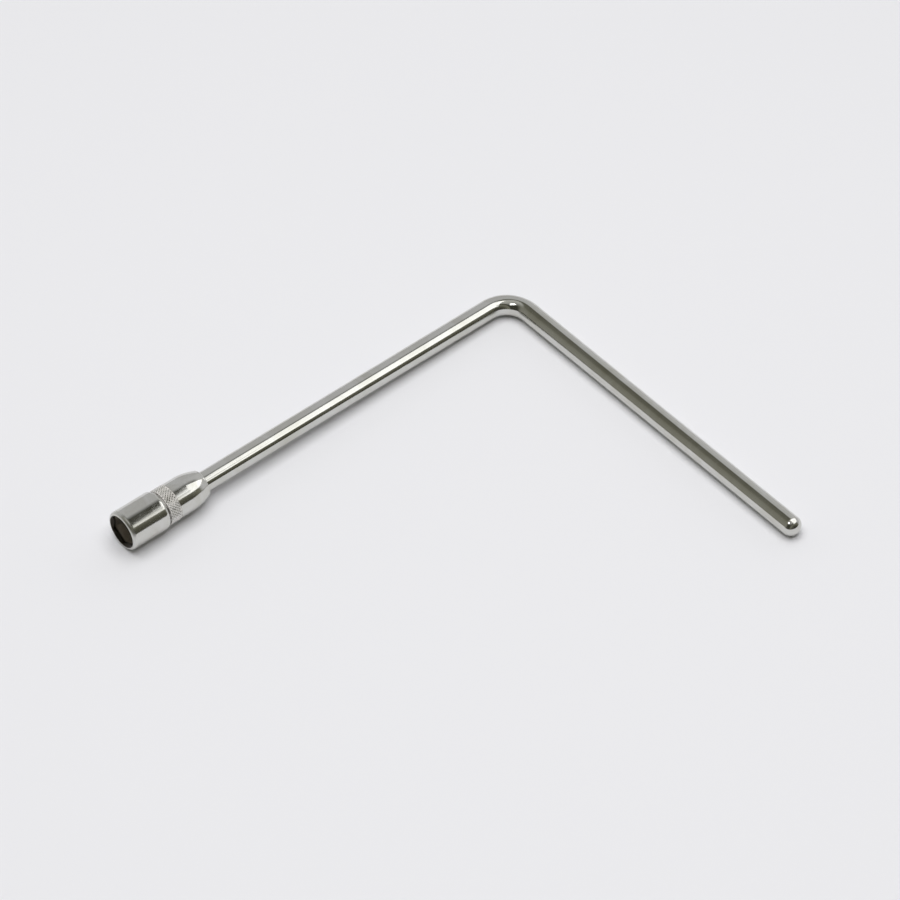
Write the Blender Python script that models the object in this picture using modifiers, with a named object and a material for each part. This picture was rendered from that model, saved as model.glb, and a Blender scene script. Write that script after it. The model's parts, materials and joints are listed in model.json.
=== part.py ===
"""Truss rod wrench: a round rod bent square, with a hex-broached, knurled socket on its long arm.

The axes of the two arms meet at the corner. The long arm runs to -X and carries the socket, whose mouth
faces -X. The short arm runs to -Y and ends in a dome. On a bench the wrench lies on its short arm and on
the back of the socket's barrel, so the long arm climbs a little towards the socket. The origin is on the
bench, under the middle of the wrench. All sizes are in metres.
"""
import math

import bmesh
import bpy

# The nut that the wrench turns
HEX_FLATS = 0.0070

# The rod
ROD_D = 0.0050
LONG_ARM = 0.1183
SHORT_ARM = 0.0995
BEND_RADIUS = 0.0072
DOME_HEIGHT = 0.0023
DOME_SWEEP = math.radians(80)
ROD_SIDES = 32
BEND_STEPS = 14
DOME_STEPS = 6

# The socket's lengths, from its mouth back
NOSE_LENGTH = 0.0108
SHOULDER_LENGTH = 0.0010
GROOVE_WIDTH = 0.0004
KNURL_WIDTH = 0.0030
NECK_STRAIGHT = 0.0034
NECK_TAPER = 0.0057

# The socket's diameters
NOSE_D = 0.0099
GROOVE_D = 0.0084
KNURL_ROOT_D = 0.0087
NECK_D = 0.0090
NECK_END_D = 0.0064

# The socket's edges, hollows and knurl
MOUTH_ROUND_LENGTH = 0.0013
MOUTH_ROUND_DEPTH = 0.00052
MOUTH_CURVE = 1.5
LEAD_IN_D = 0.0080
HEX_DEPTH = 0.0090
HEX_TURN = math.radians(30)
PILOT_D = 0.0068
PILOT_DEPTH = 0.0100
DRILL_POINT_ANGLE = math.radians(118)
ROD_SEAT = 0.0095
ROD_GAP = 0.0002
KNURL_HEIGHT = 0.00025
KNURL_ROWS = 7
SOCKET_STEPS = 72
CURVE_STEPS = 6
ROUND_CUT_SIDES = 36
SHARP_EDGE_ANGLE = math.radians(35)

# How far a cutter runs out past the face that it opens
CUTTER_OVERRUN = 0.0010

# The plating, as linear colour
PLATING_COLOUR = (0.72, 0.71, 0.68, 1.0)
ROD_ROUGHNESS = 0.08
SOCKET_ROUGHNESS = 0.12

SOCKET_LENGTH = NOSE_LENGTH + GROOVE_WIDTH + KNURL_WIDTH + NECK_STRAIGHT + NECK_TAPER
BARREL_END = NOSE_LENGTH - SHOULDER_LENGTH
REST_TILT = math.asin((NOSE_D - ROD_D) / 2 / (LONG_ARM - BARREL_END))


def clear_scene():
    for old in list(bpy.data.objects):
        bpy.data.objects.remove(old, do_unlink=True)


def new_collection(name):
    collection = bpy.data.collections.new(name)
    bpy.context.scene.collection.children.link(collection)
    return collection


def plated_steel(name, roughness):
    material = bpy.data.materials.new(name)
    material.use_nodes = True
    shader = material.node_tree.nodes["Principled BSDF"]
    shader.inputs["Base Color"].default_value = PLATING_COLOUR
    shader.inputs["Metallic"].default_value = 1.0
    shader.inputs["Roughness"].default_value = roughness
    return material


def rod_path():
    """Points of the rod's axis with their share of its radius, from the socket round to the dome."""
    seat_x = -(LONG_ARM - SOCKET_LENGTH + ROD_SEAT - ROD_GAP)
    path = [(seat_x, 0.0, 1.0)]
    for step in range(BEND_STEPS + 1):
        turn = math.pi / 2 * step / BEND_STEPS
        x = -BEND_RADIUS * (1 - math.sin(turn))
        y = -BEND_RADIUS * (1 - math.cos(turn))
        path.append((x, y, 1.0))
    dome_y = -(SHORT_ARM - DOME_HEIGHT)
    path.append((0.0, dome_y, 1.0))
    for step in range(1, DOME_STEPS + 1):
        lift = DOME_SWEEP * step / DOME_STEPS
        path.append((0.0, dome_y - DOME_HEIGHT * math.sin(lift), math.cos(lift)))
    return path


def make_bent_rod(parts, parent):
    """The rod is one thick curve: straight, a quarter bend, straight, and rings that close in as a dome."""
    curve = bpy.data.curves.new("bent_rod", "CURVE")
    curve.dimensions = "3D"
    curve.bevel_depth = ROD_D / 2
    curve.bevel_resolution = (ROD_SIDES - 4) // 2
    curve.use_fill_caps = True
    path = rod_path()
    spline = curve.splines.new("POLY")
    spline.points.add(len(path) - 1)
    for point, (x, y, share) in zip(spline.points, path):
        point.co = (x, y, 0.0, 1.0)
        point.radius = share
    rod = bpy.data.objects.new("bent_rod", curve)
    rod.parent = parent
    parts.objects.link(rod)
    curve.materials.append(plated_steel("plated_rod", ROD_ROUGHNESS))
    return rod


def socket_profile():
    """The turned outline as (radius, height) points: mouth at height 0, rod end at the bottom."""
    nose_r = NOSE_D / 2
    groove_r = GROOVE_D / 2
    neck_r = NECK_D / 2
    end_r = NECK_END_D / 2
    outline = [(0.0, 0.0)]
    for step in range(CURVE_STEPS + 1):
        share = step / CURVE_STEPS
        radius = nose_r - MOUTH_ROUND_DEPTH * (1 - share) ** MOUTH_CURVE
        outline.append((radius, -MOUTH_ROUND_LENGTH * share))
    for step in range(CURVE_STEPS + 1):
        turn = math.pi / 2 * step / CURVE_STEPS
        radius = groove_r + (nose_r - groove_r) * math.cos(turn)
        outline.append((radius, -BARREL_END - SHOULDER_LENGTH * math.sin(turn)))
    band_top = -NOSE_LENGTH - GROOVE_WIDTH
    outline.append((groove_r, band_top))
    for row in range(KNURL_ROWS + 1):
        outline.append((KNURL_ROOT_D / 2, band_top - KNURL_WIDTH * row / KNURL_ROWS))
    neck_top = band_top - KNURL_WIDTH
    outline.append((neck_r, neck_top))
    for step in range(CURVE_STEPS + 1):
        share = step / CURVE_STEPS
        radius = neck_r - (neck_r - end_r) * share ** 2
        outline.append((radius, neck_top - NECK_STRAIGHT - NECK_TAPER * share))
    outline.append((0.0, -SOCKET_LENGTH))
    return outline


def raise_knurl(mesh):
    """Every other point of the band's grid stands up as the crown of a diamond between crossed grooves."""
    band_top = -NOSE_LENGTH - GROOVE_WIDTH
    row_height = KNURL_WIDTH / KNURL_ROWS
    step_angle = 2 * math.pi / SOCKET_STEPS
    root_r = KNURL_ROOT_D / 2
    on_band = set()
    shape = bmesh.new()
    shape.from_mesh(mesh)
    for vert in shape.verts:
        row = (band_top - vert.co.z) / row_height
        radius = math.hypot(vert.co.x, vert.co.y)
        if abs(radius - root_r) > 1e-5 or not -0.1 < row < KNURL_ROWS + 0.1:
            continue
        on_band.add(vert)
        column = round(math.atan2(vert.co.y, vert.co.x) / step_angle)
        inner_row = 0 < round(row) < KNURL_ROWS
        if inner_row and (round(row) + column) % 2:
            vert.co.xy *= (root_r + KNURL_HEIGHT) / radius
    diamonds = [face for face in shape.faces if all(vert in on_band for vert in face.verts)]
    bmesh.ops.triangulate(shape, faces=diamonds, quad_method="SHORT_EDGE")
    shape.to_mesh(mesh)
    shape.free()


def turned_socket_blank(parts):
    """The blank is the profile swept round its axis, kept as a mesh so that its knurl can be raised."""
    outline = socket_profile()
    line = bpy.data.meshes.new("socket_profile")
    line.from_pydata([(r, 0.0, z) for r, z in outline], [(i, i + 1) for i in range(len(outline) - 1)], [])
    profile = bpy.data.objects.new("socket_profile", line)
    parts.objects.link(profile)
    screw = profile.modifiers.new("turn", "SCREW")
    screw.angle = 2 * math.pi
    screw.steps = SOCKET_STEPS
    screw.render_steps = SOCKET_STEPS
    screw.use_merge_vertices = True
    screw.merge_threshold = 0.000005
    evaluated = profile.evaluated_get(bpy.context.evaluated_depsgraph_get())
    mesh = bpy.data.meshes.new_from_object(evaluated)
    bpy.data.objects.remove(profile, do_unlink=True)
    raise_knurl(mesh)
    mesh.name = "socket"
    socket = bpy.data.objects.new("socket", mesh)
    parts.objects.link(socket)
    return socket


def cut_from_socket(socket, cutters, name, top, bottom, top_r, bottom_r, sides, point=0.0):
    """Cuts between two heights on the socket's axis, with a drill point below where the cut has one."""
    mesh = bpy.data.meshes.new(name)
    shape = bmesh.new()
    bmesh.ops.create_cone(shape, cap_ends=True, segments=sides, radius1=bottom_r, radius2=top_r,
                          depth=top - bottom)
    bmesh.ops.translate(shape, verts=shape.verts, vec=(0.0, 0.0, (top + bottom) / 2))
    if point:
        lower_cap = min(shape.faces, key=lambda face: face.calc_center_median().z)
        bmesh.ops.poke(shape, faces=[lower_cap], offset=point)
    shape.to_mesh(mesh)
    shape.free()
    cutter = bpy.data.objects.new(name, mesh)
    cutter.parent = socket
    cutter.hide_render = True
    cutter.display_type = "WIRE"
    cutters.objects.link(cutter)
    cut = socket.modifiers.new(name, "BOOLEAN")
    cut.operation = "DIFFERENCE"
    cut.solver = "EXACT"
    cut.object = cutter
    return cutter


def make_socket(parts, cutters, parent):
    """The socket is turned and knurled, then drilled, broached to the hexagon and bored for the rod."""
    socket = turned_socket_blank(parts)
    hex_corner_r = HEX_FLATS / math.sqrt(3)
    lead_in_r = LEAD_IN_D / 2
    pilot_r = PILOT_D / 2
    drill_point = pilot_r / math.tan(DRILL_POINT_ANGLE / 2)
    bore_r = ROD_D / 2 + ROD_GAP
    over = CUTTER_OVERRUN
    cut_from_socket(socket, cutters, "pilot_drill", over, -PILOT_DEPTH, pilot_r, pilot_r,
                    ROUND_CUT_SIDES, drill_point)
    broach = cut_from_socket(socket, cutters, "hex_broach", over, -HEX_DEPTH, hex_corner_r, hex_corner_r, 6)
    broach.rotation_euler.z = HEX_TURN
    cut_from_socket(socket, cutters, "lead_in", over, -over, lead_in_r + over, lead_in_r - over,
                    ROUND_CUT_SIDES)
    cut_from_socket(socket, cutters, "rod_bore", -SOCKET_LENGTH + ROD_SEAT, -SOCKET_LENGTH - over,
                    bore_r, bore_r, ROUND_CUT_SIDES)
    socket.location = (-LONG_ARM, 0.0, 0.0)
    socket.rotation_euler = (0.0, math.radians(-90), 0.0)
    socket.parent = parent
    socket.data.materials.append(plated_steel("plated_socket", SOCKET_ROUGHNESS))
    socket.data.shade_smooth()
    socket.data.set_sharp_from_angle(angle=SHARP_EDGE_ANGLE)
    return socket


def bench_rest():
    """An empty at the corner of the axes, at its height above the bench and with the arms' resting tilt."""
    left = -LONG_ARM * math.cos(REST_TILT)
    right = ROD_D / 2
    near = -SHORT_ARM
    far = NOSE_D / 2
    rest = bpy.data.objects.new("bench_rest", None)
    rest.location = (-(left + right) / 2, -(near + far) / 2, ROD_D / 2)
    rest.rotation_euler = (0.0, REST_TILT, 0.0)
    bpy.context.scene.collection.objects.link(rest)
    return rest


clear_scene()
wrench_parts = new_collection("truss_rod_wrench")
wrench_cutters = new_collection("cutters")
rest_frame = bench_rest()
make_bent_rod(wrench_parts, rest_frame)
make_socket(wrench_parts, wrench_cutters, rest_frame)
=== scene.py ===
"""The looks of a truss rod wrench: a bright plated rod bent square, with a knurled hexagon
socket on its long arm.

Each piece is modelled in the wrench's own frame, where the axes of the two arms meet at the
origin, the long arm runs to -X and the short arm to -Y. It is then laid on the bench as the
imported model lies, a little tilted.
"""
import json
import math

import bmesh
import bpy
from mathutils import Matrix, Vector


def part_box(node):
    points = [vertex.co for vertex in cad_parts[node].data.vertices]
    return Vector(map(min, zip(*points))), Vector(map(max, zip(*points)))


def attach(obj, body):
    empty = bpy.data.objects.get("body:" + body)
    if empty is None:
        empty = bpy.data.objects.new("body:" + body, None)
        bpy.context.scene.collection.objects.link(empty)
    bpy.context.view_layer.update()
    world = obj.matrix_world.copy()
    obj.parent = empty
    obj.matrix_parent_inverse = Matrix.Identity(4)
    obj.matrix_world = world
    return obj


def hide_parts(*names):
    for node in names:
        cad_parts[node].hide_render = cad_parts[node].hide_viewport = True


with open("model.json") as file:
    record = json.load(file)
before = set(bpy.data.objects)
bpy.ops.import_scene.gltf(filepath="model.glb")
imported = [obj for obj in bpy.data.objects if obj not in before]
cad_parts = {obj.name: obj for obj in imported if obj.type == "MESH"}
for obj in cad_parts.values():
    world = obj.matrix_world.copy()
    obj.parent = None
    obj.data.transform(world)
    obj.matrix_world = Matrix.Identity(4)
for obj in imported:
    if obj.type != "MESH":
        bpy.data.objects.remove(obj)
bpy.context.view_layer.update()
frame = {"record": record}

# The bent rod
# A length of cold drawn steel rod, bent once to a square corner round a former, with its free
# end turned to a dome. It is plated bright all over, so it shows the room as a mirror does,
# broken by faint draw lines and handling marks.
mm = 0.001
micron = 0.000001
quarter_turn = math.pi / 2
full_turn = 2 * math.pi
rod_radius = 2.5 * mm
bend_radius = 7.2 * mm
dome_height = 2.27 * mm
rod_sides = 96
bend_steps = 36
dome_steps = 14
last_dome_step = 0.9
end_ring = 0.3 * mm
merge_distance = 0.5 * micron
rod_crease = math.radians(40)
socket_length = 23.3 * mm
seat_depth = 9.3 * mm

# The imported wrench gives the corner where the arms' axes meet, how long the arms are and how the
# long one tilts. The long arm is a micron shorter here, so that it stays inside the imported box.
rod_low, rod_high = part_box("bent_rod")
corner = Vector((rod_high.x - rod_radius, rod_high.y - rod_radius, rod_low.z + rod_radius))
short_arm = corner.y - rod_low.y
rim = next(mount for mount in frame["record"]["mounts"] if mount["name"] == "socket_rim")
rim_axis = Vector(rim["axis"])
rest_tilt = math.atan2(rim_axis.z, -rim_axis.x)
long_arm = (Vector(rim["pos_m"]) - corner).dot(rim_axis) - micron
seat_x = -(long_arm - socket_length + seat_depth)


def srgb(hex_colour):
    """A colour written as an sRGB hex value, turned to the linear values that shaders take."""
    channels = [int(hex_colour[i:i + 2], 16) / 255 for i in (1, 3, 5)]
    linear = [c / 12.92 if c <= 0.04045 else ((c + 0.055) / 1.055) ** 2.4 for c in channels]
    return linear + [1.0]


def add_node(tree, kind, inputs=(), **settings):
    """Adds a node, sets its properties, and fills each named input with a value or a link."""
    new_node = tree.nodes.new(kind)
    for name, value in settings.items():
        setattr(new_node, name, value)
    for name, value in dict(inputs).items():
        if isinstance(value, bpy.types.NodeSocket):
            tree.links.new(value, new_node.inputs[name])
        else:
            new_node.inputs[name].default_value = value
    return new_node


def lay_on_bench(piece):
    """Tilts a piece as the wrench rests, moves it to its place and leaves both in its mesh."""
    piece.rotation_euler = (0.0, rest_tilt, 0.0)
    piece.location = corner
    bpy.ops.object.select_all(action="DESELECT")
    piece.select_set(True)
    bpy.context.view_layer.objects.active = piece
    bpy.ops.object.transform_apply(location=True, rotation=True, scale=True)


bpy.ops.object.select_all(action="DESELECT")
bpy.ops.mesh.primitive_circle_add(
    vertices=rod_sides, radius=rod_radius, fill_type="NGON",
    location=(seat_x, 0.0, 0.0), rotation=(0.0, quarter_turn, 0.0))
rod = bpy.context.object
rod.name = "plated_rod"
bpy.ops.object.transform_apply(location=True, rotation=True)
bpy.ops.object.mode_set(mode="EDIT")
# A ring close to each end of a straight stretch keeps reflections straight along it
for run in (-bend_radius - seat_x - end_ring, end_ring):
    bpy.ops.mesh.extrude_region_move(TRANSFORM_OT_translate={"value": (run, 0.0, 0.0)})
bpy.ops.mesh.spin(
    steps=bend_steps, angle=quarter_turn, center=(-bend_radius, -bend_radius, 0.0),
    axis=(0.0, 0.0, 1.0))
for run in (end_ring, short_arm - dome_height - bend_radius - 2 * end_ring, end_ring):
    bpy.ops.mesh.extrude_region_move(TRANSFORM_OT_translate={"value": (0.0, -run, 0.0)})
# The last ring of the dome stops short of its top and closes it with a small flat
dome_lifts = [quarter_turn * step / dome_steps for step in range(dome_steps)]
dome_lifts.append(quarter_turn * (dome_steps - 1 + last_dome_step) / dome_steps)
for lift, next_lift in zip(dome_lifts, dome_lifts[1:]):
    rise = dome_height * (math.sin(next_lift) - math.sin(lift))
    shrink = math.cos(next_lift) / math.cos(lift)
    bpy.ops.mesh.extrude_region_move(TRANSFORM_OT_translate={"value": (0.0, -rise, 0.0)})
    bpy.ops.transform.resize(value=(shrink, 1.0, shrink))
bpy.ops.mesh.select_all(action="SELECT")
bpy.ops.mesh.remove_doubles(threshold=merge_distance)
bpy.ops.mesh.normals_make_consistent(inside=False)
bpy.ops.object.mode_set(mode="OBJECT")
bpy.ops.object.shade_smooth_by_angle(angle=rod_crease)

# A map of the surface in metres, along the rod and round it, so that the draw lines follow the
# rod through its bend
bend_start = -bend_radius - seat_x
bend_length = bend_radius * quarter_turn


def along_rod(point):
    """How far along the rod a point lies from the seat, and its angle about the rod's axis."""
    if point.x < -bend_radius:
        return point.x - seat_x, math.atan2(point.z, point.y)
    if point.y < -bend_radius:
        distance = bend_start + bend_length - bend_radius - point.y
        return distance, math.atan2(point.z, point.x)
    out = Vector((point.x + bend_radius, point.y + bend_radius))
    turn = math.atan2(out.x, out.y)
    return bend_start + bend_radius * turn, math.atan2(point.z, out.length - bend_radius)


surface_map = rod.data.uv_layers.new(name="along_and_round")
for face in rod.data.polygons:
    middle = along_rod(face.center)[1]
    for loop in face.loop_indices:
        point = rod.data.vertices[rod.data.loops[loop].vertex_index].co
        distance, angle = along_rod(point)
        angle += full_turn * round((middle - angle) / full_turn)
        surface_map.data[loop].uv = (distance, angle * rod_radius)

# Bright nickel plate over drawn steel: a pale, slightly warm mirror. Draw lines run with the rod,
# the plate itself ripples a little, and handling leaves short scratches and dull smears. Real
# draw lines and scratches are much finer, and are drawn this wide so that they show.
plate_smeared = "#C6C5BD"
plate_clear = "#D2D2CE"
draw_line_length = 30 * mm
draw_line_width = 0.14 * mm
draw_line_height = 0.35 * micron
rod_ripple_size = 6 * mm
rod_ripple_height = 5 * micron
rod_smear_size = 9 * mm
scratch_length = 5 * mm
scratch_width = 0.09 * mm
scratch_depth = 0.6 * micron
scratch_dullness = 0.10
scratch_leans = (14, -31, 68)
shift_along, shift_round = 0.37, 0.11

nickel_on_rod = bpy.data.materials.new("bright_nickel_plate_on_drawn_steel")
nickel_on_rod.use_nodes = True
tree = nickel_on_rod.node_tree
plate = tree.nodes["Principled BSDF"]
plate.inputs["Metallic"].default_value = 1.0
rod_map = add_node(tree, "ShaderNodeUVMap", uv_map="along_and_round")
place = add_node(tree, "ShaderNodeTexCoord")
stretched = add_node(tree, "ShaderNodeMapping", {
    "Vector": rod_map.outputs["UV"], "Scale": (1 / draw_line_length, 1 / draw_line_width, 1.0)})
draw_lines = add_node(tree, "ShaderNodeTexNoise", {
    "Vector": stretched.outputs["Vector"], "Scale": 1.0, "Detail": 3.0, "Roughness": 0.6})
ripple = add_node(tree, "ShaderNodeTexNoise", {
    "Vector": place.outputs["Object"], "Scale": 1 / rod_ripple_size, "Detail": 1.0})
smears = add_node(tree, "ShaderNodeTexNoise", {
    "Vector": place.outputs["Object"], "Scale": 1 / rod_smear_size, "Detail": 5.0,
    "Roughness": 0.62, "Distortion": 0.8})
scratches = None
for lean in scratch_leans:
    leaning = add_node(tree, "ShaderNodeMapping", {
        "Vector": rod_map.outputs["UV"], "Rotation": (0.0, 0.0, math.radians(lean)),
        "Location": (lean * shift_along, lean * shift_round, 0.0),
        "Scale": (1 / scratch_length, 1 / scratch_width, 1.0)})
    streaks = add_node(tree, "ShaderNodeTexNoise", {
        "Vector": leaning.outputs["Vector"], "Scale": 1.0, "Detail": 1.0})
    marks = add_node(tree, "ShaderNodeMapRange", {
        "Value": streaks.outputs["Fac"], "From Min": 0.70, "From Max": 0.78})
    if scratches:
        both = add_node(tree, "ShaderNodeMath", {
            0: scratches, 1: marks.outputs["Result"]}, operation="MAXIMUM")
        scratches = both.outputs["Value"]
    else:
        scratches = marks.outputs["Result"]

tint = add_node(tree, "ShaderNodeValToRGB", {"Fac": smears.outputs["Fac"]})
tint.color_ramp.elements[0].position = 0.30
tint.color_ramp.elements[0].color = srgb(plate_smeared)
tint.color_ramp.elements[1].position = 0.62
tint.color_ramp.elements[1].color = srgb(plate_clear)
tree.links.new(tint.outputs["Color"], plate.inputs["Base Color"])
dull = add_node(tree, "ShaderNodeMapRange", {
    "Value": smears.outputs["Fac"], "From Min": 0.35, "From Max": 0.75,
    "To Min": 0.07, "To Max": 0.13})
scratched = add_node(tree, "ShaderNodeMath", {
    0: scratches, 1: scratch_dullness, 2: dull.outputs["Result"]}, operation="MULTIPLY_ADD")
tree.links.new(scratched.outputs["Value"], plate.inputs["Roughness"])
rippled = add_node(tree, "ShaderNodeMath", {
    0: ripple.outputs["Fac"], 1: rod_ripple_height}, operation="MULTIPLY")
lined = add_node(tree, "ShaderNodeMath", {
    0: draw_lines.outputs["Fac"], 1: draw_line_height, 2: rippled.outputs["Value"]},
    operation="MULTIPLY_ADD")
marked = add_node(tree, "ShaderNodeMath", {
    0: scratches, 1: -scratch_depth, 2: lined.outputs["Value"]}, operation="MULTIPLY_ADD")
relief = add_node(tree, "ShaderNodeBump", {
    "Height": marked.outputs["Value"], "Distance": 1.0, "Strength": 1.0})
tree.links.new(relief.outputs["Normal"], plate.inputs["Normal"])
rod.data.materials.append(nickel_on_rod)

lay_on_bench(rod)
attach(rod, "root")
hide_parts("bent_rod")

# The socket
# One piece of bar steel, turned on a lathe: barrel, rounded shoulder, groove, knurled band and
# tapering neck. The mouth is drilled, broached to a hexagon and coned at its edge; the neck is
# bored and fixed onto the rod, and both are plated together.
hex_flats = 7.0 * mm
hex_corner_radius = hex_flats / math.sqrt(3)
hex_depth = 9.0 * mm
hex_turn = math.radians(30)
hex_corner_round = 0.12 * mm
broach_overrun = 2.0 * mm
pilot_radius = 3.4 * mm
pilot_depth = 10.0 * mm
drill_point_slope = math.radians(59)
drill_point = pilot_radius / math.tan(drill_point_slope)
lead_in_radius = 4.2 * mm
lead_in_depth = lead_in_radius - pilot_radius
nose_radius = 4.94 * mm
mouth_round_length = 0.95 * mm
mouth_round_depth = 0.6 * mm
shoulder_start = 9.8 * mm
shoulder_end = 10.8 * mm
groove_radius = 4.2 * mm
groove_end = 11.2 * mm
knurl_root = 4.40 * mm
knurl_height = 0.18 * mm
knurl_end = 14.2 * mm
knurl_diamonds = 36
knurl_rows = 8
crown_flat = 0.10 * mm
neck_radius = 4.5 * mm
neck_straight_end = 17.6 * mm
neck_end_radius = 3.45 * mm
neck_end_round = 0.3 * mm
bore_radius = rod_radius + 0.02 * mm
bore_depth = seat_depth + 0.1 * mm
curve_steps = 12
taper_steps = 20
neck_end_steps = 4
socket_crease = math.radians(28)


def from_axis(point):
    """How far a point lies from the socket's axis."""
    return math.hypot(point.y, point.z)


def select_points(piece, wanted):
    """In edit mode, selects the points of a piece that pass a test, and no others."""
    bpy.ops.mesh.select_all(action="DESELECT")
    shape = bmesh.from_edit_mesh(piece.data)
    for vert in shape.verts:
        vert.select_set(wanted(vert))
    shape.select_flush_mode()
    bmesh.update_edit_mesh(piece.data)


bpy.ops.object.select_all(action="DESELECT")
bpy.ops.mesh.primitive_circle_add(
    vertices=2 * knurl_diamonds, radius=pilot_radius, fill_type="TRIFAN",
    location=(pilot_depth, 0.0, 0.0), rotation=(0.0, quarter_turn, 0.0))
socket = bpy.context.object
socket.name = "plated_socket"
bpy.ops.object.transform_apply(location=True, rotation=True)
bpy.ops.object.mode_set(mode="EDIT")
bpy.ops.mesh.select_mode(type="VERT")
select_points(socket, lambda vert: from_axis(vert.co) < pilot_radius / 2)
bpy.ops.transform.translate(value=(drill_point, 0.0, 0.0))
bpy.ops.mesh.select_all(action="DESELECT")
bpy.ops.mesh.select_non_manifold()

# The turned outline as rings of (distance from the mouth, radius): out of the pilot hole, over
# the rim, down the outside and into the bore for the rod
rings = [(lead_in_depth, pilot_radius), (0.0, lead_in_radius)]
quarter_steps = [quarter_turn * step / curve_steps for step in range(curve_steps + 1)]
for turn in quarter_steps:
    rings.append((mouth_round_length * (1 - math.cos(turn)),
                  nose_radius - mouth_round_depth * (1 - math.sin(turn))))
rings.append((mouth_round_length + end_ring, nose_radius))
rings.append((shoulder_start - end_ring, nose_radius))
for turn in quarter_steps:
    rings.append((shoulder_start + (shoulder_end - shoulder_start) * math.sin(turn),
                  groove_radius + (nose_radius - groove_radius) * math.cos(turn)))
rings.append((groove_end, groove_radius))
for row in range(knurl_rows + 1):
    rings.append((groove_end + (knurl_end - groove_end) * row / knurl_rows, knurl_root))
rings.append((knurl_end, neck_radius))
taper_length = socket_length - neck_end_round - neck_straight_end
for step in range(taper_steps + 1):
    share = step / taper_steps
    rings.append((neck_straight_end + taper_length * share,
                  neck_radius - (neck_radius - neck_end_radius) * share ** 2))
for step in range(1, neck_end_steps + 1):
    turn = quarter_turn * step / neck_end_steps
    rings.append((socket_length - neck_end_round * (1 - math.sin(turn)),
                  neck_end_radius - neck_end_round * (1 - math.cos(turn))))
rings.append((socket_length, bore_radius))
rings.append((socket_length - bore_depth, bore_radius))

last_x, last_radius = pilot_depth, pilot_radius
for ring_x, ring_radius in rings:
    grow = ring_radius / last_radius
    bpy.ops.mesh.extrude_edges_move(
        TRANSFORM_OT_translate={"value": (ring_x - last_x, 0.0, 0.0)})
    bpy.ops.transform.resize(value=(1.0, grow, grow), center_override=(ring_x, 0.0, 0.0))
    last_x, last_radius = ring_x, ring_radius
bpy.ops.mesh.edge_face_add()

# The knurl: every other point of the band's grid stands up as the crown of a diamond, and the
# crowns' tips are worn flat. A real knurl this size may be finer.
row_height = (knurl_end - groove_end) / knurl_rows
column_angle = math.pi / knurl_diamonds
row_slack = 0.1
on_band = set()
crowns = set()
shape = bmesh.from_edit_mesh(socket.data)
for vert in shape.verts:
    row = (vert.co.x - groove_end) / row_height
    at_root = abs(from_axis(vert.co) - knurl_root) < micron
    if at_root and -row_slack < row < knurl_rows + row_slack:
        on_band.add(vert)
        column = round(math.atan2(vert.co.z, vert.co.y) / column_angle)
        if 0 < round(row) < knurl_rows and (round(row) + column) % 2:
            crowns.add(vert)
select_points(socket, lambda vert: vert in crowns)
crown_grow = (knurl_root + knurl_height) / knurl_root
bpy.ops.transform.resize(
    value=(1.0, crown_grow, crown_grow), center_override=(groove_end, 0.0, 0.0))
select_points(socket, lambda vert: vert in on_band)
bpy.ops.mesh.quads_convert_to_tris(quad_method="SHORTEST_DIAGONAL")
first_crowns, last_crowns = groove_end + row_height / 2, knurl_end - row_height / 2
select_points(socket, lambda vert: first_crowns < vert.co.x < last_crowns
              and from_axis(vert.co) > knurl_root + knurl_height / 2)
bpy.ops.mesh.bevel(affect="VERTICES", offset=crown_flat, segments=1)
bpy.ops.mesh.select_all(action="SELECT")
bpy.ops.mesh.remove_doubles(threshold=merge_distance)
bpy.ops.mesh.normals_make_consistent(inside=False)
bpy.ops.object.mode_set(mode="OBJECT")

# The hexagon is broached out of the drilled mouth by a cutter with slightly rounded corners, one
# corner up
bpy.ops.object.select_all(action="DESELECT")
bpy.ops.mesh.primitive_cylinder_add(
    vertices=6, radius=hex_corner_radius, depth=hex_depth + broach_overrun,
    location=((hex_depth - broach_overrun) / 2, 0.0, 0.0), rotation=(0.0, quarter_turn, 0.0))
broach = bpy.context.object
bpy.ops.object.transform_apply(location=True, rotation=True)
broach.rotation_euler.x = hex_turn
bpy.ops.object.transform_apply(rotation=True)
bpy.ops.object.mode_set(mode="EDIT")
bpy.ops.mesh.select_mode(type="EDGE")
bpy.ops.mesh.select_all(action="DESELECT")
shape = bmesh.from_edit_mesh(broach.data)
for edge in shape.edges:
    edge.select_set(abs(edge.verts[0].co.x - edge.verts[1].co.x) > hex_depth)
bmesh.update_edit_mesh(broach.data)
bpy.ops.mesh.bevel(affect="EDGES", offset=hex_corner_round, segments=3)
bpy.ops.object.mode_set(mode="OBJECT")
bpy.ops.object.select_all(action="DESELECT")
socket.select_set(True)
bpy.context.view_layer.objects.active = socket
cut = socket.modifiers.new("broached_hexagon", "BOOLEAN")
cut.operation = "DIFFERENCE"
cut.solver = "EXACT"
cut.object = broach
bpy.ops.object.modifier_apply(modifier=cut.name)
bpy.data.objects.remove(broach, do_unlink=True)
bpy.ops.object.shade_smooth_by_angle(angle=socket_crease)

# Bright nickel plate over turned steel: the same pale mirror, with turning rings round the axis,
# drawn coarser than a real feed so that they show. A pale dry residue lies in the knurl and dulls
# it, the groove is painted dark in patches as painted shade, and the mouth's edge is worn dull.
turning_feed = 0.16 * mm
turning_ring_length = 50 * mm
turning_ring_height = 0.45 * micron
socket_ripple_size = 4 * mm
socket_ripple_height = 6 * micron
socket_smear_size = 5 * mm
residue_patch = 1.4 * mm
residue_colour = "#E8E4E1"
residue_start = shoulder_end - 0.2 * mm
residue_end = knurl_end + 0.05 * mm
residue_top = knurl_root + 0.6 * knurl_height
residue_hides = 0.8
residue_dullness = 0.25
# Painted shade: a dark colour laid in patches along the groove, standing in for its shade
groove_shade_colour = "#3C3A31"
groove_shade_full_width = 0.18 * mm
groove_shade_ends = 0.3 * mm
groove_middle = (shoulder_end + groove_end) / 2
worn_fully = 0.4 * mouth_round_length
worn_ends = 1.2 * mouth_round_length
worn_dullness = 0.25

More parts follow.
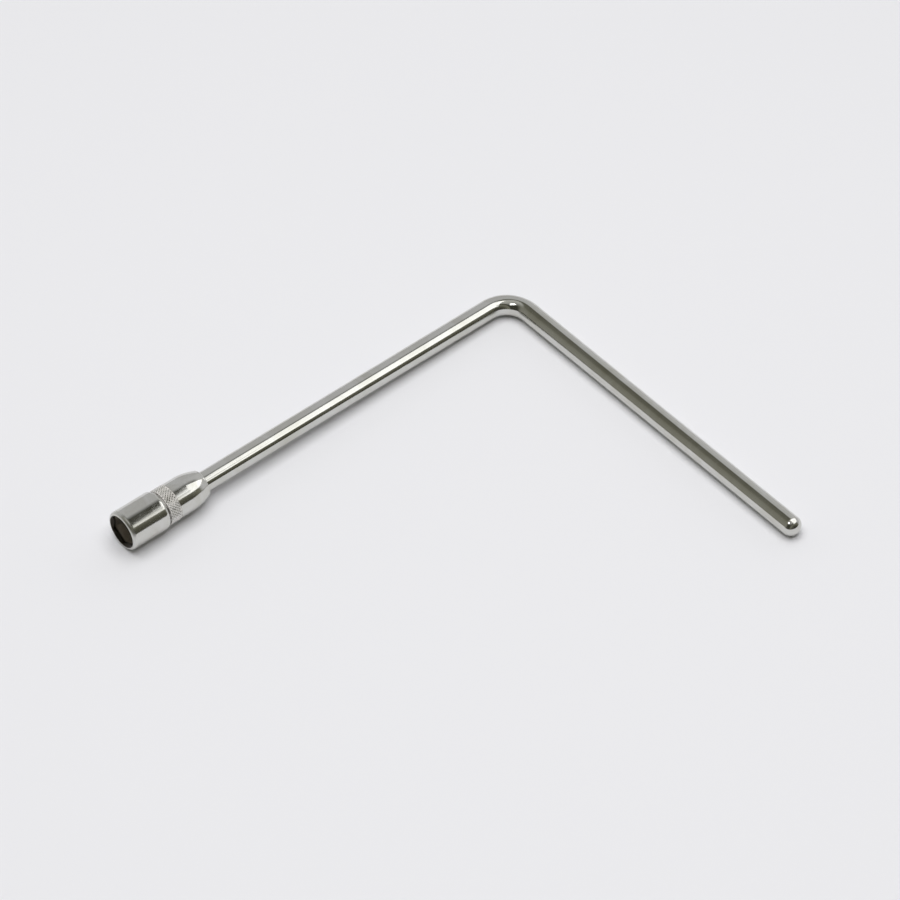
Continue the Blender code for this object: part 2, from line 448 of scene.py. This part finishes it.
nickel_on_socket = bpy.data.materials.new("bright_nickel_plate_on_turned_steel")
nickel_on_socket.use_nodes = True
tree = nickel_on_socket.node_tree
plate = tree.nodes["Principled BSDF"]
place = add_node(tree, "ShaderNodeTexCoord")
mouth_centre = corner + rim_axis * long_arm
on_axis = add_node(tree, "ShaderNodeMapping", {
    "Vector": place.outputs["Object"], "Location": mouth_centre,
    "Rotation": (0.0, rest_tilt, 0.0)}, vector_type="TEXTURE")
parts = add_node(tree, "ShaderNodeSeparateXYZ", {"Vector": on_axis.outputs["Vector"]})
across = add_node(tree, "ShaderNodeCombineXYZ", {
    "Y": parts.outputs["Y"], "Z": parts.outputs["Z"]})
radius = add_node(tree, "ShaderNodeVectorMath", {
    0: across.outputs["Vector"]}, operation="LENGTH")
squeezed = add_node(tree, "ShaderNodeMapping", {
    "Vector": on_axis.outputs["Vector"],
    "Scale": (1 / turning_feed, 1 / turning_ring_length, 1 / turning_ring_length)})
turning_rings = add_node(tree, "ShaderNodeTexNoise", {
    "Vector": squeezed.outputs["Vector"], "Scale": 1.0, "Detail": 2.0})
ripple = add_node(tree, "ShaderNodeTexNoise", {
    "Vector": on_axis.outputs["Vector"], "Scale": 1 / socket_ripple_size, "Detail": 2.0})
smears = add_node(tree, "ShaderNodeTexNoise", {
    "Vector": on_axis.outputs["Vector"], "Scale": 1 / socket_smear_size, "Detail": 5.0,
    "Roughness": 0.62, "Distortion": 0.8})
patches = add_node(tree, "ShaderNodeTexNoise", {
    "Vector": on_axis.outputs["Vector"], "Scale": 1 / residue_patch, "Detail": 3.0})

past_shoulder = add_node(tree, "ShaderNodeMath", {
    0: parts.outputs["X"], 1: residue_start}, operation="GREATER_THAN")
before_neck = add_node(tree, "ShaderNodeMath", {
    0: parts.outputs["X"], 1: residue_end}, operation="LESS_THAN")
in_band = add_node(tree, "ShaderNodeMath", {
    0: past_shoulder.outputs["Value"], 1: before_neck.outputs["Value"]}, operation="MULTIPLY")
low_down = add_node(tree, "ShaderNodeMapRange", {
    "Value": radius.outputs["Value"], "From Min": knurl_root, "From Max": residue_top,
    "To Min": 1.0, "To Max": 0.0})
patchy = add_node(tree, "ShaderNodeMapRange", {
    "Value": patches.outputs["Fac"], "From Min": 0.30, "From Max": 0.60,
    "To Min": 0.45, "To Max": 1.0})
residue_low = add_node(tree, "ShaderNodeMath", {
    0: low_down.outputs["Result"], 1: patchy.outputs["Result"]}, operation="MULTIPLY")
residue = add_node(tree, "ShaderNodeMath", {
    0: residue_low.outputs["Value"], 1: in_band.outputs["Value"]}, operation="MULTIPLY")
# Painted shade in the groove: strongest at its middle, fading at its sides, broken into patches
from_groove = add_node(tree, "ShaderNodeMath", {
    0: parts.outputs["X"], 1: groove_middle}, operation="SUBTRACT")
off_groove = add_node(tree, "ShaderNodeMath", {
    0: from_groove.outputs["Value"]}, operation="ABSOLUTE")
groove_shade_mask = add_node(tree, "ShaderNodeMapRange", {
    "Value": off_groove.outputs["Value"], "From Min": groove_shade_full_width, "From Max": groove_shade_ends,
    "To Min": 0.9, "To Max": 0.0})
groove_shade_patches = add_node(tree, "ShaderNodeMapRange", {
    "Value": patches.outputs["Fac"], "From Min": 0.42, "From Max": 0.60,
    "To Min": 0.3, "To Max": 1.0})
painted_groove_shade = add_node(tree, "ShaderNodeMath", {
    0: groove_shade_mask.outputs["Result"], 1: groove_shade_patches.outputs["Result"]}, operation="MULTIPLY")

tint = add_node(tree, "ShaderNodeValToRGB", {"Fac": smears.outputs["Fac"]})
tint.color_ramp.elements[0].position = 0.30
tint.color_ramp.elements[0].color = srgb(plate_smeared)
tint.color_ramp.elements[1].position = 0.62
tint.color_ramp.elements[1].color = srgb(plate_clear)
soiled = add_node(tree, "ShaderNodeMixRGB", {
    "Fac": residue.outputs["Value"], "Color1": tint.outputs["Color"],
    "Color2": srgb(residue_colour)})
# The groove's painted shade is mixed into the plate's colour here
groove_painted_dark = add_node(tree, "ShaderNodeMixRGB", {
    "Fac": painted_groove_shade.outputs["Value"], "Color1": soiled.outputs["Color"],
    "Color2": srgb(groove_shade_colour)})
tree.links.new(groove_painted_dark.outputs["Color"], plate.inputs["Base Color"])
bare_metal = add_node(tree, "ShaderNodeMath", {
    0: residue.outputs["Value"], 1: -residue_hides, 2: 1.0}, operation="MULTIPLY_ADD")
tree.links.new(bare_metal.outputs["Value"], plate.inputs["Metallic"])
dull = add_node(tree, "ShaderNodeMapRange", {
    "Value": smears.outputs["Fac"], "From Min": 0.35, "From Max": 0.75,
    "To Min": 0.09, "To Max": 0.15})
dusty = add_node(tree, "ShaderNodeMath", {
    0: residue.outputs["Value"], 1: residue_dullness, 2: dull.outputs["Result"]},
    operation="MULTIPLY_ADD")
at_mouth = add_node(tree, "ShaderNodeMapRange", {
    "Value": parts.outputs["X"], "From Min": worn_fully, "From Max": worn_ends,
    "To Min": worn_dullness, "To Max": 0.0})
worn = add_node(tree, "ShaderNodeMath", {
    0: dusty.outputs["Value"], 1: at_mouth.outputs["Result"]}, operation="ADD")
tree.links.new(worn.outputs["Value"], plate.inputs["Roughness"])
rippled = add_node(tree, "ShaderNodeMath", {
    0: ripple.outputs["Fac"], 1: socket_ripple_height}, operation="MULTIPLY")
ringed = add_node(tree, "ShaderNodeMath", {
    0: turning_rings.outputs["Fac"], 1: turning_ring_height, 2: rippled.outputs["Value"]},
    operation="MULTIPLY_ADD")
relief = add_node(tree, "ShaderNodeBump", {
    "Height": ringed.outputs["Value"], "Distance": 1.0, "Strength": 1.0})
tree.links.new(relief.outputs["Normal"], plate.inputs["Normal"])
socket.data.materials.append(nickel_on_socket)

# Bare broached steel inside the mouth: plating hardly reaches it, so it stays plain grey under a
# patchy film of oil. The coned edge is painted dark as painted shade at the mouth of the hollow.
# The marks of the broach's stroke are drawn wider than real ones so that they show.
stroke_width = 0.2 * mm
strokes_per_metre = 60.0
stroke_height = 3 * micron
oil_patch = 2 * mm
steel_under_oil = "#CCC6BB"
steel_clear = "#E0DBD1"
# Painted shade: a dark colour on the coned edge of the mouth, fading deeper in
edge_shade_colour = "#38342E"
edge_shade_ends = 1.5 * lead_in_depth
rim_skin = 0.02 * mm

bare_steel = bpy.data.materials.new("broached_steel_oiled_with_painted_edge_shade")
bare_steel.use_nodes = True
tree = bare_steel.node_tree
steel = tree.nodes["Principled BSDF"]
steel.inputs["Metallic"].default_value = 1.0
place = add_node(tree, "ShaderNodeTexCoord")
on_axis = add_node(tree, "ShaderNodeMapping", {
    "Vector": place.outputs["Object"], "Location": mouth_centre,
    "Rotation": (0.0, rest_tilt, 0.0)}, vector_type="TEXTURE")
parts = add_node(tree, "ShaderNodeSeparateXYZ", {"Vector": on_axis.outputs["Vector"]})
stroke = add_node(tree, "ShaderNodeMapping", {
    "Vector": on_axis.outputs["Vector"],
    "Scale": (strokes_per_metre, 1 / stroke_width, 1 / stroke_width)})
broach_marks = add_node(tree, "ShaderNodeTexNoise", {
    "Vector": stroke.outputs["Vector"], "Scale": 1.0, "Detail": 3.0})
oil = add_node(tree, "ShaderNodeTexNoise", {
    "Vector": on_axis.outputs["Vector"], "Scale": 1 / oil_patch, "Detail": 4.0})
tint = add_node(tree, "ShaderNodeValToRGB", {"Fac": oil.outputs["Fac"]})
tint.color_ramp.elements[0].position = 0.35
tint.color_ramp.elements[0].color = srgb(steel_under_oil)
tint.color_ramp.elements[1].position = 0.65
tint.color_ramp.elements[1].color = srgb(steel_clear)
# Painted shade on the coned edge, full at the cone and gone a little past it
edge_shade_mask = add_node(tree, "ShaderNodeMapRange", {
    "Value": parts.outputs["X"], "From Min": lead_in_depth, "From Max": edge_shade_ends,
    "To Min": 1.0, "To Max": 0.0})
edge_painted_dark = add_node(tree, "ShaderNodeMixRGB", {
    "Fac": edge_shade_mask.outputs["Result"], "Color1": tint.outputs["Color"],
    "Color2": srgb(edge_shade_colour)})
tree.links.new(edge_painted_dark.outputs["Color"], steel.inputs["Base Color"])
dull = add_node(tree, "ShaderNodeMapRange", {
    "Value": broach_marks.outputs["Fac"], "From Min": 0.3, "From Max": 0.7,
    "To Min": 0.36, "To Max": 0.52})
tree.links.new(dull.outputs["Result"], steel.inputs["Roughness"])
relief = add_node(tree, "ShaderNodeBump", {
    "Height": broach_marks.outputs["Fac"], "Distance": stroke_height, "Strength": 1.0})
tree.links.new(relief.outputs["Normal"], steel.inputs["Normal"])
socket.data.materials.append(bare_steel)
for face in socket.data.polygons:
    inside = from_axis(face.center) < hex_corner_radius
    if inside and rim_skin < face.center.x < pilot_depth + drill_point:
        face.material_index = 1

for vert in socket.data.vertices:
    vert.co.x -= long_arm
lay_on_bench(socket)
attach(socket, "root")
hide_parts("socket")

# The bench
# A plain sheet of pale matt card, larger than any view takes in, so that the wrench lies on one
# even tone and the undersides of its arms pick that tone up.
bench_size = 6.0
card_colour = "#EAEAEE"
bpy.ops.object.select_all(action="DESELECT")
bpy.ops.mesh.primitive_plane_add(size=bench_size, location=(0.0, 0.0, 0.0))
bench = bpy.context.object
bench.name = "bench"
card = bpy.data.materials.new("pale_matt_card")
card.use_nodes = True
sheet = card.node_tree.nodes["Principled BSDF"]
sheet.inputs["Base Color"].default_value = srgb(card_colour)
sheet.inputs["Roughness"].default_value = 0.9
sheet.inputs["Specular IOR Level"].default_value = 0.1
bench.data.materials.append(card)

# The studio
# A room with pale walls on the right and at the back, a dim front and a pale panel overhead. A
# softbox in three panels, its near corner dimmer, hangs close above on the right, and a small
# lamp on the left stands edge-on to the socket's mouth. The bench's own light isn't reflected.
# Tones go by direction: -1 to 1 is left to right along X, and front to back along Y.
back_half_tones = [(-1.0, "#93928A"), (-0.5, "#858479"), (-0.32, "#706F64"), (-0.1, "#6B6A60"),
                   (0.2, "#66655B"), (0.30, "#605F54"), (0.355, "#C4C4C5"), (1.0, "#D2D2D3")]
front_half_tones = [(-1.0, "#3A3932"), (-0.86, "#5A594E"), (-0.72, "#7D7C70"),
                    (-0.62, "#7D7C70"), (-0.54, "#42423A"), (1.0, "#42423A")]
back_half_starts, back_half_full = -0.02, 0.28
back_wall_starts, back_wall_full = 0.55, 0.62
right_wall_starts, right_wall_full = 0.72, 0.80
back_wall_colour = "#C6C6C7"
right_wall_colour = "#D2D2D3"
panel_colour = "#C2C2BE"
backdrop_colour = "#E6E6E4"
# Each edge of the overhead panel: its axis, where the panel has ended and where it is full
panel_edges = [("X", 0.26, 0.18), ("X", -0.62, -0.12), ("Y", -0.50, -0.42), ("Y", 0.42, 0.34)]

world = bpy.data.worlds.new("studio_room")
bpy.context.scene.world = world
world.use_nodes = True
tree = world.node_tree
sky = tree.nodes["Background"]
way = add_node(tree, "ShaderNodeTexCoord")
parts = add_node(tree, "ShaderNodeSeparateXYZ", {"Vector": way.outputs["Generated"]})
halves = []
for axis, tones in (("X", back_half_tones), ("Y", front_half_tones)):
    share = add_node(tree, "ShaderNodeMapRange", {
        "Value": parts.outputs[axis], "From Min": -1.0, "From Max": 1.0})
    half = add_node(tree, "ShaderNodeValToRGB", {"Fac": share.outputs["Result"]})
    stops = half.color_ramp.elements
    for index, (at, colour) in enumerate(tones):
        stop = stops[index] if index in (0, 1) else stops.new((at + 1) / 2)
        stop.position = (at + 1) / 2
        stop.color = srgb(colour)
    halves.append(half.outputs["Color"])
back_half, front_half = halves
back_wall = add_node(tree, "ShaderNodeMapRange", {
    "Value": parts.outputs["Y"], "From Min": back_wall_starts, "From Max": back_wall_full})
behind = add_node(tree, "ShaderNodeMixRGB", {
    "Fac": back_wall.outputs["Result"], "Color1": back_half, "Color2": srgb(back_wall_colour)})
to_back = add_node(tree, "ShaderNodeMapRange", {
    "Value": parts.outputs["Y"], "From Min": back_half_starts, "From Max": back_half_full})
around = add_node(tree, "ShaderNodeMixRGB", {
    "Fac": to_back.outputs["Result"], "Color1": front_half, "Color2": behind.outputs["Color"]})
on_panel = 1.0
for axis, ended, full in panel_edges:
    within = add_node(tree, "ShaderNodeMapRange", {
        "Value": parts.outputs[axis], "From Min": ended, "From Max": full})
    both = add_node(tree, "ShaderNodeMath", {
        0: on_panel, 1: within.outputs["Result"]}, operation="MULTIPLY")
    on_panel = both.outputs["Value"]
above = add_node(tree, "ShaderNodeMixRGB", {
    "Fac": on_panel, "Color1": around.outputs["Color"], "Color2": srgb(panel_colour)})
right_wall = add_node(tree, "ShaderNodeMapRange", {
    "Value": parts.outputs["X"], "From Min": right_wall_starts, "From Max": right_wall_full})
lit = add_node(tree, "ShaderNodeMixRGB", {
    "Fac": right_wall.outputs["Result"], "Color1": above.outputs["Color"],
    "Color2": srgb(right_wall_colour)})
rays = add_node(tree, "ShaderNodeLightPath")
seen = add_node(tree, "ShaderNodeMixRGB", {
    "Fac": rays.outputs["Is Camera Ray"], "Color1": lit.outputs["Color"],
    "Color2": srgb(backdrop_colour)})
tree.links.new(seen.outputs["Color"], sky.inputs["Color"])


def add_lamp(name, centre, size, brightness, aim=None, in_reflections=True):
    """A panel of even brightness, where 1 is white. It shows in the plating or lights the bench."""
    lamp = bpy.data.lights.new(name, "AREA")
    lamp.shape = "RECTANGLE"
    lamp.size, lamp.size_y = size
    lamp.energy = brightness * math.pi * size[0] * size[1]
    holder = bpy.data.objects.new(name, lamp)
    holder.location = centre
    if aim:
        facing = Vector(aim) - Vector(centre)
        holder.rotation_euler = facing.to_track_quat("-Z", "Y").to_euler()
    holder.visible_camera = False
    holder.visible_glossy = in_reflections
    holder.visible_diffuse = not in_reflections
    bpy.context.scene.collection.objects.link(holder)


add_lamp("softbox_right", centre=(0.264, -0.112, 0.25), size=(0.272, 0.316), brightness=1.5)
add_lamp("softbox_edge", centre=(0.1035, -0.0355, 0.25), size=(0.049, 0.163), brightness=1.5)
add_lamp("softbox_corner", centre=(0.1035, -0.1935, 0.25), size=(0.049, 0.153), brightness=0.85)
add_lamp("lamp_left", centre=(-0.094, -0.0145, 0.3165), size=(0.11, 0.20), brightness=5.0,
         aim=(0.886, -0.1645, 0.4065))
add_lamp("bench_light", centre=(0.0, 0.0, 1.2), size=(1.2, 1.2), brightness=2.9,
         in_reflections=False)

# The camera
# It stands at the photograph's angle, a metre away, with a long lens that gives the same framing.
view_azimuth = math.radians(-41.0)
view_elevation = math.radians(47.7)
view_distance = 1.0
view_centre = Vector((0.01398, 0.0187, 0.003))
camera = bpy.data.objects.new("camera", bpy.data.cameras.new("camera"))
camera.data.sensor_width = 36.0
camera.data.lens = 172.0
camera.rotation_euler = (quarter_turn - view_elevation, 0.0, view_azimuth)
camera.location = view_centre + view_distance * Vector((
    math.sin(view_azimuth) * math.cos(view_elevation),
    -math.cos(view_azimuth) * math.cos(view_elevation),
    math.sin(view_elevation)))
bpy.context.scene.collection.objects.link(camera)
bpy.context.scene.camera = camera
bpy.context.scene.view_settings.view_transform = "Standard"
